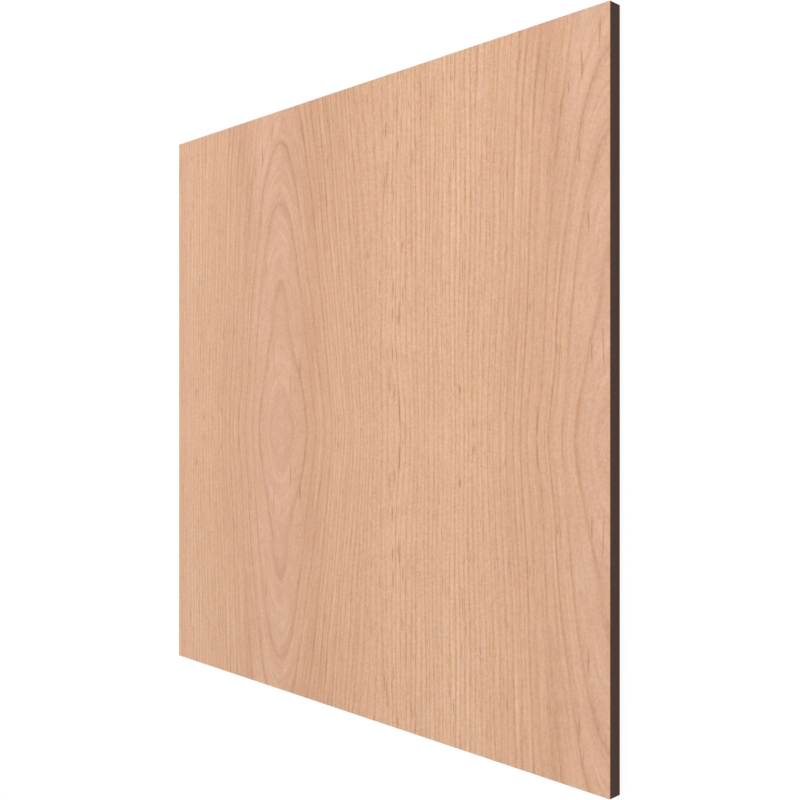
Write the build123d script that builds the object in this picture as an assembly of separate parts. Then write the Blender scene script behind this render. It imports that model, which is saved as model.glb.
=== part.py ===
from build123d import *
import os

# A square compact panel with a wood-grain face and a dark brown core, cut from one pressed sheet.
# It lies on its back with the grained face up. The grain runs along Y, and the origin is the
# middle of the back face. Sizes are in millimetres.

# The cut sheet
panel_width = 600.0  # across the grain
panel_length = 600.0  # along the grain
panel_thickness = 13.0  # from the back face to the grained face

# The sharp saw edges are broken by a fine flat, so that they don't cut the hand or chip.
face_arris = 0.3  # round the grained face and the back face
corner_arris = 0.3  # down the four upright corners


def cut_blank():
    """The square-sawn blank, standing on the plane of its back face."""
    blank = Rectangle(panel_width, panel_length)
    return extrude(blank, amount=panel_thickness)


def ease_corners(blank):
    """Breaks the four upright corners, first, so that the face arrises run round them."""
    uprights = blank.edges().filter_by(Axis.Z)
    return chamfer(uprights, length=corner_arris)


def ease_faces(blank):
    """Breaks the arris all round the grained face and all round the back face."""
    levels = blank.faces().filter_by(Axis.Z).sort_by(Axis.Z)
    rims = levels[0].edges() + levels[-1].edges()
    return chamfer(rims, length=face_arris)


panel = ease_faces(ease_corners(cut_blank()))

os.makedirs("parts", exist_ok=True)
export_step(panel, "parts/panel.step")
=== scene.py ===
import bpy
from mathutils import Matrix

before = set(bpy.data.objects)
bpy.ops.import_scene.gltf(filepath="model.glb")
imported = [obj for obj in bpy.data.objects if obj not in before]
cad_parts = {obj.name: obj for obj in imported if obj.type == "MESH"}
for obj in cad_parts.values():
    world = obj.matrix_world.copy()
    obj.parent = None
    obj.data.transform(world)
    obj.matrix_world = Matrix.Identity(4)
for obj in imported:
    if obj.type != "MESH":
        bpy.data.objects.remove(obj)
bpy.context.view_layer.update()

from types import SimpleNamespace

import bpy

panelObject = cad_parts["panel"]
panelThickness = 13.0  # in millimetres, as the solid has it
print("frame loaded")


# A value on its way through a material, with the sums that can be done on it
class Wire:
    def __init__(self, tree, socket=None):
        self.tree = tree
        self.socket = socket

    # One more node: its settings first, then what goes into its sockets
    def node(self, kind, settings=None, sockets=None, output=0):
        made = self.tree.nodes.new("ShaderNode" + kind)
        for name, value in (settings or {}).items():
            if name == "stops":
                setStops(made.color_ramp.elements, value)
            else:
                setattr(made, name, value)
        for name, value in (sockets or {}).items():
            if isinstance(value, Wire):
                self.tree.links.new(value.socket, made.inputs[name])
            else:
                made.inputs[name].default_value = value
        return Wire(self.tree, made.outputs[output]) if len(made.outputs) else None

    # Another output of the node that this one comes from
    def beside(self, name):
        return Wire(self.tree, self.socket.node.outputs[name])

    def math(self, operation, first, second=0.0):
        return self.node("Math", {"operation": operation}, {0: first, 1: second})

    def __add__(self, other): return self.math("ADD", self, other)
    def __radd__(self, other): return self.math("ADD", other, self)
    def __sub__(self, other): return self.math("SUBTRACT", self, other)
    def __rsub__(self, other): return self.math("SUBTRACT", other, self)
    def __mul__(self, other): return self.math("MULTIPLY", self, other)
    def __rmul__(self, other): return self.math("MULTIPLY", other, self)
    def __truediv__(self, other): return self.math("DIVIDE", self, other)
    def __rtruediv__(self, other): return self.math("DIVIDE", other, self)
    def __mod__(self, other): return self.math("FLOORED_MODULO", self, other)
    def __neg__(self): return self.math("MULTIPLY", self, -1.0)
    def __abs__(self): return self.math("ABSOLUTE", self)

    def root(self): return self.math("SQRT", self)
    def whole(self): return self.math("ROUND", self)
    def atMost(self, other): return self.math("MINIMUM", self, other)
    def atLeast(self, other): return self.math("MAXIMUM", self, other)
    def above(self, other): return self.math("GREATER_THAN", self, other)

    # 0 up to the start and 1 from the end, easing between the two
    def ease(self, start, end):
        return self.node("MapRange", {"interpolation_type": "SMOOTHSTEP"},
                         {"Value": self, "From Min": start, "From Max": end})

    # A bell round the middle, 1 at its top
    def bell(self, middle, width):
        away = (self - middle) / width
        return self.math("EXPONENT", away * away * -1.0)

    # The first value where this wire is 0, the second where it is 1
    def between(self, first, second):
        return first + self * (second - first)


def setStops(elements, stops):
    while len(elements) > 1:
        elements.remove(elements[-1])
    elements[0].position, elements[0].color = stops[0]
    for position, colour in stops[1:]:
        elements.new(position).color = colour


# A colour from its screen values, 0 to 255, as the light that a shader counts in
def paint(red, green, blue):
    return (*(((value / 255 + 0.055) / 1.055) ** 2.4 for value in (red, green, blue)), 1.0)


def newMaterial(name):
    material = bpy.data.materials.new(name)
    material.use_nodes = True
    material.node_tree.nodes.clear()
    return material, Wire(material.node_tree)


# Millimetres across the grain, along it, and up from the back face
def panelPlace(start):
    place = start.node("TexCoord", output="Object")
    across = start.node("SeparateXYZ", {}, {0: place}, "X")
    return across * 1000.0, across.beside("Y") * 1000.0, across.beside("Z") * 1000.0


noiseSpread = 7.5  # brings the noise to between -2 and 2 or so


# Soft noise round zero, in cells so many millimetres wide and long
def drift(across, along, wide, long, seed, detail=0.0):
    spot = across.node("CombineXYZ", {}, {0: across / wide, 1: along / long, 2: seed})
    noise = across.node("TexNoise", {"noise_dimensions": "3D"}, {
        "Vector": spot, "Scale": 1.0, "Detail": detail})
    return (noise - 0.5) * noiseSpread


# The same with its strength in front, as the dictionaries below list it: strength, wide, long, seed, detail
def play(across, along, strength, *cells):
    return drift(across, along, *cells) * strength


# The sum of soft bells across the figure, one for each row of middle, half width and height
def bells(place, rows):
    return sum(place.bell(middle, wide) * high for middle, wide, high in rows)


# Where the printed lines run. All of it is in millimetres.
figure = {
    "repeat": 410.0,  # the printed figure starts again this far across
    "heart": -105.0,  # the middle of the cathedral, across the panel
    "mirror": -31.25,  # the figure is the same above and below this height
    "slowWander": (1.0, 38.0, 170.0, 3.1),  # how far the lines stray, and the noise that they follow
    "quickWander": (0.3, 9.0, 70.0, 8.4),
    "lean": (4.0, 0.03),  # the heart's place at the mirror line, and its drift with height
    "leanFrom": (8.0, 34.0),  # from here to here, outward, the lean comes in
    "straightens": (105.0, 162.0),  # from here to here the arches turn into straight grain
    "roundOver": (9.0, 30.0),  # the lines run upright through the mirror line instead of bending sharply
    "firstPinch": 12.5,  # how fast the arches close with height, to begin with
    "pinch": (10.3, 5.2),  # the same, in the heart, and how much more past it
    "pinchTurns": (42.0, 70.0),
    "narrow": (4.2, 82.0, 50.0),  # how much the innermost arch is drawn in, how high up, and how tall that is
    "narrowEnds": (42.0, 54.0),
    "firstArch": (40.75, 21.5),  # how far out it stands, and the step inside it
    "wideStep": 13.25,  # from arch to arch
    "closing": (55.0, 115.0, 8.97e-6),  # where the steps begin and end to close up, and how fast
    "straightStep": 5.15,
    "linesInside": 3.0,  # the first arch's number
    "dashZone": (150.0, 6.4),  # from here out on the right the lines stand wider apart
    "bow": (184.0, 16.0, 75.0, 7.0),  # there they also swing outward past the mirror line
    "crowding": (56.0, 14.0, 0.14),  # where the arches crowd at their tops, and how much
    "leastReach": 4.0,
    "leastSlope": 3.0,
    "widestGap": 60.0,
}


# Across and along within one printed figure, from its heart
def figurePlace(across, along):
    half = figure["repeat"] / 2
    place = (across - (figure["heart"] - half)) % figure["repeat"] - half
    return place, abs(along - figure["mirror"])


# The place across with the lines' wandering and the heart's lean taken out, and the share that still arches
def unbend(u, t):
    u = u + play(u, t, *figure["slowWander"]) + play(u, t, *figure["quickWander"])
    arching = 1.0 - abs(u).ease(*figure["straightens"])
    leanStart, leanBack = figure["lean"]
    return u - (leanStart - t * leanBack) * arching * abs(u).ease(*figure["leanFrom"]), arching


# How far out the arch through a spot stands at the mirror line, and how fast it closes there
def archReach(u, t, arching):
    heartPinch, morePinch = figure["pinch"]
    narrowing, narrowAt, narrowTall = figure["narrow"]
    narrow = t.bell(narrowAt, narrowTall) * narrowing
    reach = (u * u + t * figure["firstPinch"]).root()
    for turn in range(2):
        further = reach.ease(*figure["pinchTurns"]) * morePinch
        pinch = (heartPinch + further + narrow * (1.0 - reach.ease(*figure["narrowEnds"]))) * arching
        reach = (u * u + t * pinch).root()
    return reach, pinch


# How many lines lie inside a spot, and how far apart they are there
def countLines(place, t):
    u, arching = unbend(place, t)
    roundTall, roundWide = figure["roundOver"]
    t = (t * t + roundTall * roundTall).root() - t.bell(0.0, roundWide) * roundTall
    reach, pinch = archReach(u, t, arching)
    closeFrom, closeTo, closing = figure["closing"]
    near = reach.atMost(closeTo)
    past = (near - closeFrom).atLeast(0.0)
    archAt, innerStep = figure["firstArch"]
    count = (reach.atMost(archAt) - archAt) / innerStep + (near.atLeast(archAt) - archAt) / figure["wideStep"]
    count = count + past * past * past * closing + (reach - near) / figure["straightStep"]
    dashFrom, dashStep = figure["dashZone"]
    bowAt, bowWide, bowTall, swing = figure["bow"]
    bowed = u - u.bell(bowAt, bowWide) * t.bell(0.0, bowTall) * swing
    fewer = (u - dashFrom).atLeast(0.0) * (1.0 / figure["straightStep"] - 1.0 / dashStep)
    count = count + (bowed - u) / dashStep - fewer + figure["linesInside"]
    step = 1.0 / (1.0 / figure["wideStep"] + past * past * (3.0 * closing))
    crowdAt, crowdWide, crowding = figure["crowding"]
    crowded = reach - reach.bell(crowdAt, crowdWide) * t * crowding
    slope = (u * u + pinch * pinch * 0.25).root().atLeast(figure["leastSlope"])
    gap = step * crowded.atLeast(figure["leastReach"]) / slope
    return u, reach, count, gap.atMost(figure["widestGap"])


# The dark lines. Here and below, a tone is in screen levels from the ground.
grainLines = {
    "ringDark": 10.8,  # the middle of an arch's line
    "grainDark": 14.2,  # the same in the straight grain
    "straightFrom": (62.0, 100.0),  # from here to here, outward, the arches count as straight grain
    "alikeFrom": (95.0, 125.0),  # and from here to here the lines grow more alike
    "alikePlay": 0.4,  # the share of the play that is then left
    "stray": 0.35,  # how far a line may stand off its place, as a share of the step
    "halfWidth": (0.29, 0.17),  # for a step of 1 mm: the least, and its play
    "widestGap": 26.0,  # a wider step gives no wider line
    "innerShade": (0.27, 0.15),  # the soft shade inside an arch's line, and inside a straight one
    "groundRise": 0.265,  # how much the ground rises between the lines, as a share of their depth
    "strength": 0.9,
    "strengthPlay": 0.6,  # from line to line
    "alongPlay": 0.15,  # along one line
    "alongCells": (1.0, 45.0, 4.0, 1.0),
    "patchPlay": 0.09,  # from patch to patch
    "patchCells": (11.0, 48.0, 5.2),
    "faintest": 0.1,
    "heartFrom": (12.0, 40.0),  # the lines are faint inside the first and full from the second
    "heartFaint": 0.35,
    "leftFrom": (-300.0, -110.0),  # they fade a little towards the panel's left edge
    "leftFaint": 0.78,
    "fainterAt": [(-110.0, 32.0, 0.2), (140.0, 23.0, 0.35), (-10.0, 32.0, 0.2)],  # the height is the share lost
    "otherSide": 40.0,  # added to the draws, so that the two sides of the heart differ
    "draws": {"stray": 2.3, "width": 7.1, "strength": 3.7, "along": 9.7, "halfStray": 3.1, "halfStrength": 5.3},
}


# What the tone at one spot is worked out from
def readSpot(across, along):
    place, t = figurePlace(across, along)
    u, reach, count, gap = countLines(place, t)
    return SimpleNamespace(
        across=across, along=along, place=place, t=t, u=u, reach=reach, count=count, gap=gap,
        side=place.above(0.0) * grainLines["otherSide"],
        straight=reach.ease(*grainLines["straightFrom"]),
        patches=drift(place, t, *grainLines["patchCells"]))


# The number that a line draws by
def drawn(line, spot, draw):
    return line * grainLines["draws"][draw] + spot.side


# A number from 0 to 1 for each line, the same all along it
def lottery(line, spot, draw):
    return line.node("TexWhiteNoise", {"noise_dimensions": "1D"}, {"W": drawn(line, spot, draw)}, "Value")


# How strongly a line is printed at a spot
def lineStrength(spot, line, alike):
    along = drift(drawn(line, spot, "along"), spot.t, *grainLines["alongCells"])
    strengthPlay = alike * grainLines["strengthPlay"]
    strength = grainLines["strength"] + (lottery(line, spot, "strength") - 0.5) * strengthPlay
    strength = strength + along * grainLines["alongPlay"] + spot.patches * grainLines["patchPlay"]
    strength = strength.atLeast(grainLines["faintest"])
    strength = strength * spot.reach.ease(*grainLines["heartFrom"]).between(grainLines["heartFaint"], 1.0)
    strength = strength * spot.across.ease(*grainLines["leftFrom"]).between(grainLines["leftFaint"], 1.0)
    return strength * (1.0 - bells(spot.place, grainLines["fainterAt"]))


# The tone of the dark lines, and where they are
def darkLines(spot):
    line = spot.count.whole()
    alike = spot.reach.ease(*grainLines["alikeFrom"]).between(1.0, grainLines["alikePlay"])
    stray = (lottery(line, spot, "stray") - 0.5) * spot.straight * alike * grainLines["stray"]
    away = spot.count - line - stray
    leastWidth, widthPlay = grainLines["halfWidth"]
    halfWidth = lottery(line, spot, "width") * widthPlay + leastWidth
    halfWidth = spot.gap.atMost(grainLines["widestGap"]).root() * halfWidth
    widths = away * spot.gap / halfWidth
    spine = widths.bell(0.0, 1.0)
    inside = away.ease(-0.5, 0.0) * (1.0 - widths.ease(0.0, 1.0))
    strength = lineStrength(spot, line, alike)
    shade = spine + inside * spot.straight.between(*grainLines["innerShade"]) - grainLines["groundRise"]
    dark = spot.straight.between(grainLines["ringDark"], grainLines["grainDark"])
    return shade * strength * -dark, spine * strength


# The finer lines halfway between the dark ones, and the few pale ones
fineLines = {
    "halfDark": 12.0,
    "halfWidth": 1.1,
    "halfStray": 0.35,
    "halfGround": 0.25,
    "halfGaps": (5.0, 8.0),  # they come in where the dark lines stand this far apart
    "halfFrom": (44.0, 76.0),  # and this far out
    "heartPale": 7.0,
    "heartArcs": [(27.0, 1.5, 46.0, 13.0), (33.5, 1.7, 68.0, 12.0)],  # how far out and wide, how high and tall
    "leftPale": 5.5,  # the one long pale line left of the heart
    "leftAt": 112.7,  # how far out it stands
    "leftLean": 0.0165,
    "leftWidth": 1.2,
    "leftRims": (2.4, 1.1, 0.8),  # the dark lines beside it: how far off, how wide, and the outer one's share
    "leftFrom": (-60.0, -90.0),
    "leftPatches": 0.15,
    "leftMost": 1.3,
}


def halfLines(spot):
    halfCount = spot.count + 0.5
    line = halfCount.whole()
    away = halfCount - line - (lottery(line, spot, "halfStray") - 0.5) * fineLines["halfStray"]
    strength = lottery(line, spot, "halfStrength") * spot.gap.ease(*fineLines["halfGaps"])
    strength = strength * spot.reach.ease(*fineLines["halfFrom"])
    spine = (away * spot.gap / fineLines["halfWidth"]).bell(0.0, 1.0)
    return (spine - fineLines["halfGround"]) * strength * -fineLines["halfDark"]


def paleLines(spot):
    arcs = sum(spot.reach.bell(out, wide) * spot.t.bell(high, tall)
               for out, wide, high, tall in fineLines["heartArcs"])
    away = spot.reach + spot.t * fineLines["leftLean"] - fineLines["leftAt"]
    rimOff, rimWidth, outerShare = fineLines["leftRims"]
    rims = away.bell(-rimOff, rimWidth) + away.bell(rimOff, rimWidth) * outerShare
    pale = (away.bell(0.0, fineLines["leftWidth"]) - rims) * spot.place.ease(*fineLines["leftFrom"])
    patchy = (spot.patches * fineLines["leftPatches"] + 1.0).atMost(fineLines["leftMost"])
    return arcs * fineLines["heartPale"] + pale * patchy * fineLines["leftPale"]


# The fibre that runs with the lines, and the fine mottle that doesn't
fibres = {
    "fibre": (1.8, 1.3, 24.0, 1.7),
    "threads": (2.3, 2.7, 130.0, 6.1, 1.0),
    "calmHeart": (20.0, 60.0),  # the fibre is weaker inside the first, and full from the second
    "calmShare": 0.6,
    "calmAt": [(138.0, 26.0, 0.3)],  # and weaker here too
    "speckle": (2.0, 0.9, 1.2, 4.4),
    "mottle": (2.1, 2.1, 2.3, 5.6),
    "roughFrom": (92.0, 132.0),  # the mottle grows from here to here, outward
    "roughShare": (0.84, 1.13),
}


def fibreTone(spot):
    layer = spot.reach + spot.side
    calm = spot.reach.ease(*fibres["calmHeart"]).between(fibres["calmShare"], 1.0)
    calm = calm - bells(spot.place, fibres["calmAt"])
    return (play(layer, spot.t, *fibres["fibre"]) + play(layer, spot.t, *fibres["threads"])) * calm


def mottleTone(spot):
    mottle = play(spot.across, spot.along, *fibres["speckle"])
    mottle = mottle + play(spot.across, spot.along, *fibres["mottle"])
    return mottle * abs(spot.place).ease(*fibres["roughFrom"]).between(*fibres["roughShare"])


# The pores, which are short dark dashes, and the pale flecks
pores = {
    "dark": 8.0,
    "cells": (1.1, 16.0, 12.3),
    "groups": (0.3, 9.0, 40.0, 2.9),
    "moreAt": [(172.0, 20.0, 0.5)],  # the pores are thicker here, and in straight grain
    "moreStraight": 0.25,
    "shows": (1.8, 3.2),  # the noise's height at which a pore begins and is full
    "fleckPale": 7.0,
    "fleckCells": (1.6, 14.0, 15.7),
    "fleckGroups": (0.3, 12.0, 60.0, 0.9),
    "fleckShows": (1.8, 2.8),
    "strokeShape": (1.3, 0.95, 0.74),  # what the strokes' lengths, widths and depths are multiplied by
    "strokeFades": (1.2, 0.3),  # from outside to full depth, in half widths
    # The strongest short strokes: across, along, half length, half width, depth
    "strokes": [
        (-13, 310, 11, 0.9, 17), (-26, 290, 11, 0.8, 19), (-39, 274, 4, 0.8, 16), (-31, 221, 8, 1.2, 14),
        (-23, 168, 8, 0.9, 18), (-11, 72, 17, 0.8, 17), (17, 46, 14, 0.8, 18), (30.5, 64, 6, 1.2, 24),
        (-22, 66, 8, 1.0, 17), (-155, 145, 12, 0.8, 20), (-151, 165, 6, 0.8, 15), (-157, 184, 8, 0.8, 18),
        (158, 237, 8, 1.0, 22), (157, 280, 7, 0.9, 18), (170, 133, 9, 1.0, 25), (170, 110, 7, 1.0, 26),
        (178.5, 108, 12, 1.1, 24), (183, 127, 7, 0.9, 21), (178, 22, 12, 1.1, 24), (170, 74, 7, 1.0, 24),
        (164, 45, 8, 0.9, 20), (-78, 14, 12, 1.0, 13), (-193, 295, 9, 0.9, 18), (-166, 257, 8, 0.8, 17),
        (175, 262, 9, 0.9, 17)],
}


def poreMask(spot):
    more = bells(spot.place, pores["moreAt"]) + spot.straight * pores["moreStraight"]
    noise = drift(spot.u, spot.t, *pores["cells"]) + play(spot.u, spot.t, *pores["groups"]) + more
    return noise.ease(*pores["shows"])


def fleckMask(spot):
    noise = drift(spot.u, spot.t, *pores["fleckCells"]) + play(spot.u, spot.t, *pores["fleckGroups"])
    return noise.ease(*pores["fleckShows"])


def strokeDepth(spot):
    here = spot.u.node("CombineXYZ", {}, {0: spot.u, 1: spot.t})
    longer, wider, deeper = pores["strokeShape"]
    outside, inside = pores["strokeFades"]
    deepest = None
    for across, along, halfLength, halfWidth, depth in pores["strokes"]:
        halfLength, halfWidth = halfLength * longer, halfWidth * wider
        scaled = here.node("VectorMath", {"operation": "MULTIPLY_ADD"}, {
            0: here, 1: (1 / halfWidth, 1 / halfLength, 0.0),
            2: (-across / halfWidth, -along / halfLength, 0.0)})
        away = here.node("VectorMath", {"operation": "LENGTH"}, {0: scaled}, "Value")
        dark = away.node("MapRange", {"interpolation_type": "SMOOTHSTEP"}, {
            "Value": away, "From Min": outside, "From Max": inside, "To Max": depth * deeper})
        deepest = dark if deepest is None else deepest.atLeast(dark)
    return deepest


# The slow changes of tone over the figure
toneZones = {
    "bands": (0.8, 22.0, 160.0, 9.9),
    "across": [
        (46.0, 34.0, -6.0), (-63.0, 28.0, -4.2), (178.0, 24.0, 4.0), (-178.0, 24.0, 4.0),
        (-140.0, 30.0, 2.0), (-5.0, 24.0, -1.5)],
    "darkCorner": (55.0, 85.0, 3.4),  # right of the heart it also grows darker with height
    "darkHeights": (90.0, 260.0),
    "base": -3.0,
    "leftFrom": (-300.0, -170.0),  # the grain is a little flatter at the panel's left edge
    "leftFlat": 0.92,
}


def slowTone(spot):
    cornerAt, cornerWide, cornerDark = toneZones["darkCorner"]
    corner = spot.place.bell(cornerAt, cornerWide) * spot.t.ease(*toneZones["darkHeights"]) * cornerDark
    slow = play(spot.u, spot.t, *toneZones["bands"]) + bells(spot.place, toneZones["across"])
    return slow - corner + toneZones["base"]


# The tone of the printed wood, where its lines are, its pores, and its strokes
def woodTone(spot):
    lineTone, lines = darkLines(spot)
    poreHere, stroke = poreMask(spot), strokeDepth(spot)
    tone = lineTone + halfLines(spot) + paleLines(spot) + fibreTone(spot)
    tone = tone - poreHere * pores["dark"] - stroke + fleckMask(spot) * pores["fleckPale"] + mottleTone(spot)
    tone = tone * spot.across.ease(*toneZones["leftFrom"]).between(toneZones["leftFlat"], 1.0)
    return tone + slowTone(spot), lines, poreHere, stroke


wood = {
    "levels": [  # tone, and the colour that it has
        (-32.0, (174, 127, 99)), (-16.0, (203, 155, 124)), (-8.0, (211, 165, 134)), (0.0, (219, 175, 143)),
        (8.0, (226, 183, 152)), (18.0, (234, 195, 163))],
    "red": (184, 118, 90),  # the pores and strokes go some way to this
    "poreRed": 0.5,
    "strokeRed": 1 / 32,
    "mostRed": 0.75,
    "heart": (-10.0, 42.0),  # the pink part's middle and half width
    "heartPink": (1.4, 0.04),  # how pink it is, and how much more for each level of tone
    "pinkDrift": (0.3, 7.0, 18.0, 7.1),
    "pinkBlue": 0.06,
    "hueCells": (4.5, 8.0, 31.0),  # spots that are a little redder or bluer: width, length, seed
    "hueDetail": (2.0, 0.65),
    "redRange": (0.923, 0.16),  # the least that the red is multiplied by, and the play above it
    "blueRange": (0.914, 0.14),
}


# Two noises from 0 to 1, for the play of red and of blue
def hueNoise(spot):
    wide, long, seed = wood["hueCells"]
    detail, roughness = wood["hueDetail"]
    here = spot.across.node("CombineXYZ", {}, {0: spot.across / wide, 1: spot.along / long, 2: seed})
    noise = here.node("TexNoise", {}, {
        "Vector": here, "Scale": 1.0, "Detail": detail, "Roughness": roughness}, "Color")
    blueNoise = here.node("SeparateXYZ", {}, {0: noise}, "X")
    return blueNoise.beside("Y"), blueNoise


# The colour of a tone, redder in the pores and pinker in the heart
def woodColour(spot, tone, poreHere, stroke):
    low, high = wood["levels"][0][0], wood["levels"][-1][0]
    stops = [((level - low) / (high - low), paint(*colour)) for level, colour in wood["levels"]]
    colour = tone.node("ValToRGB", {"stops": stops}, {"Fac": (tone - low) / (high - low)})
    pinkness, pinkTone = wood["heartPink"]
    pink = spot.place.bell(*wood["heart"]) * (pinkness + tone * pinkTone)
    pink = pink + play(spot.across, spot.along, *wood["pinkDrift"])
    redNoise, blueNoise = hueNoise(spot)
    leastRed, redPlay = wood["redRange"]
    leastBlue, bluePlay = wood["blueRange"]
    blue = pink * wood["pinkBlue"] + blueNoise * bluePlay + leastBlue
    tint = tone.node("CombineXYZ", {}, {0: redNoise * redPlay + leastRed, 1: 1.0, 2: blue})
    colour = tone.node("VectorMath", {"operation": "MULTIPLY"}, {0: colour, 1: tint})
    red = (poreHere * wood["poreRed"] + stroke * wood["strokeRed"]).atMost(wood["mostRed"])
    return tone.node("Mix", {"data_type": "RGBA"}, {0: red, 6: colour, 7: paint(*wood["red"])}, 2)


# The pressed brown papers that show on the sawn edges
pressedCore = {
    "colour": (71, 49, 40),
    "pale": (87, 64, 54),
    "usual": 0.4,  # how far the colour goes to the pale one
    "sheets": (90.0, 0.45, 21.0, 2.0),  # thin level lines, a paper's thickness apart
    "marks": (1.1, 60.0, 23.0, 1.0),  # saw marks that cross them
    "worn": (14.0, 5.0, 27.0, 2.0),
    "paler": (0.12, 0.10, 0.08),  # how much the sheets, the marks and the wear change the colour
    "sheetGrit": 0.3,
}


def coreFinish(across, along, up):
    rim = across + along
    sheets, marks, worn = (drift(rim, up, *pressedCore[name]) for name in ("sheets", "marks", "worn"))
    bySheet, byMark, byWear = pressedCore["paler"]
    pale = (pressedCore["usual"] + sheets * bySheet + marks * byMark + worn * byWear).atLeast(0.0).atMost(1.0)
    colour = pale.node("Mix", {"data_type": "RGBA"}, {
        0: pale, 6: paint(*pressedCore["colour"]), 7: paint(*pressedCore["pale"])}, 2)
    return colour, sheets * pressedCore["sheetGrit"] + marks


# How the panel's faces and edges catch the light. Heights are in metres.
finish = {
    "decorDeep": 0.15,  # the printed sheet's thickness, in millimetres
    "edgeRough": (0.75, 0.03),  # the edges' roughness, and what the grit adds
    "faceRough": (0.5, 0.05, 0.1),  # the face's, and what the lines and pores add
    "gritHigh": 4e-6,
    "lineDeep": 8e-6,
    "poreDeep": 3e-5,
    "strokePits": 1 / 20,  # how deep a pit each level of a stroke makes
    "specular": 0.2,
}


def panelMaterial():
    material, start = newMaterial("panelFinish")
    across, along, up = panelPlace(start)
    spot = readSpot(across, along)
    tone, lines, poreHere, stroke = woodTone(spot)
    printed = woodColour(spot, tone, poreHere, stroke)
    pressed, grit = coreFinish(across, along, up)
    pits = poreHere + stroke * finish["strokePits"]
    middle = panelThickness / 2
    onFace = abs(up - middle).above(middle - finish["decorDeep"])
    colour = start.node("Mix", {"data_type": "RGBA"}, {0: onFace, 6: pressed, 7: printed}, 2)
    edgeRough, gritRough = finish["edgeRough"]
    faceRough, lineRough, poreRough = finish["faceRough"]
    rough = onFace.between(edgeRough + grit * gritRough, faceRough + lines * lineRough + pits * poreRough)
    sunk = lines * finish["lineDeep"] + pits * finish["poreDeep"]
    height = onFace.between(grit * finish["gritHigh"], -sunk)
    normal = start.node("Bump", {}, {"Strength": 1.0, "Distance": 1.0, "Height": height})
    shader = start.node("BsdfPrincipled", {}, {
        "Base Color": colour, "Roughness": rough, "Specular IOR Level": finish["specular"], "Normal": normal})
    start.node("OutputMaterial", {}, {"Surface": shader})
    return material


panelObject.material_slots[0].material = panelMaterial()
print("panel finished")


studio = {
    "ambient": 0.56,
    "lampPlace": (0.2, 0.5, 2.2),
    "lampSize": 1.8,
    "lampPower": 27.5,
    "floorSize": 12.0,
    "floorDrop": 0.0002,  # how far the floor lies below the panel, so that the two don't flicker
    "floorPaint": (250, 250, 250),
    "floorGlow": 0.82,  # how much of the floor's white is its own beside the panel, where its shadow falls
    "floorWhitens": (0.7, 2.0),  # from here to here, in metres from the middle, it becomes all its own
    "glowStrength": 1.04,
}


# White to the camera and in reflections, and a plain level of light on the object
def seenRays(start):
    camera = start.node("LightPath", output="Is Camera Ray")
    return camera.atLeast(camera.beside("Is Glossy Ray")).atLeast(camera.beside("Is Transmission Ray"))


def buildFloor():
    bpy.ops.object.select_all(action="DESELECT")
    bpy.ops.mesh.primitive_plane_add(size=studio["floorSize"], location=(0, 0, -studio["floorDrop"]))
    floor = bpy.context.object
    floor.name = "floor"
    bpy.ops.object.transform_apply(location=True)
    material, start = newMaterial("floorPaint")
    matt = start.node("BsdfDiffuse", {}, {"Color": paint(*studio["floorPaint"])})
    glow = start.node("Emission", {}, {"Color": (1, 1, 1, 1), "Strength": studio["glowStrength"]})
    place = start.node("TexCoord", output="Object")
    away = start.node("VectorMath", {"operation": "LENGTH"}, {0: place}, "Value")
    own = away.ease(*studio["floorWhitens"]).between(studio["floorGlow"], 1.0)
    shader = start.node("MixShader", {}, {0: seenRays(start) * own, 1: matt, 2: glow})
    start.node("OutputMaterial", {}, {"Surface": shader})
    floor.data.materials.append(material)


def buildLight():
    world = bpy.data.worlds.new("studio")
    bpy.context.scene.world = world
    world.use_nodes = True
    world.node_tree.nodes.clear()
    start = Wire(world.node_tree)
    strength = seenRays(start).between(studio["ambient"], 1.0)
    sky = start.node("Background", {}, {"Color": (1, 1, 1, 1), "Strength": strength})
    start.node("OutputWorld", {}, {"Surface": sky})
    lamp = bpy.data.lights.new("softBox", "AREA")
    lamp.shape = "DISK"
    lamp.size = studio["lampSize"]
    lamp.energy = studio["lampPower"]
    holder = bpy.data.objects.new("softBox", lamp)
    bpy.context.scene.collection.objects.link(holder)
    holder.location = studio["lampPlace"]
    holder.rotation_euler = (-holder.location).to_track_quat("-Z", "Y").to_euler()


buildFloor()
buildLight()
print("floor and light built")


# The camera stands past the right edge and looks back down across the face. The grain is upright in the picture.
view = {
    "across": 0.73775,  # metres from the panel's middle
    "up": 0.65655,
    "tilt": 0.8014,  # from straight down, in radians
    "lens": 45.702,
    "clip": (0.01, 50.0),
}


def placeCamera():
    camera = bpy.data.cameras.new("camera")
    camera.lens = view["lens"]
    camera.clip_start, camera.clip_end = view["clip"]
    holder = bpy.data.objects.new("camera", camera)
    bpy.context.scene.collection.objects.link(holder)
    holder.location = (view["across"], 0.0, view["up"])
    holder.rotation_euler = (0.0, view["tilt"], 0.0)
    bpy.context.scene.camera = holder


placeCamera()
bpy.context.scene.view_settings.view_transform = "Standard"
print("camera placed")
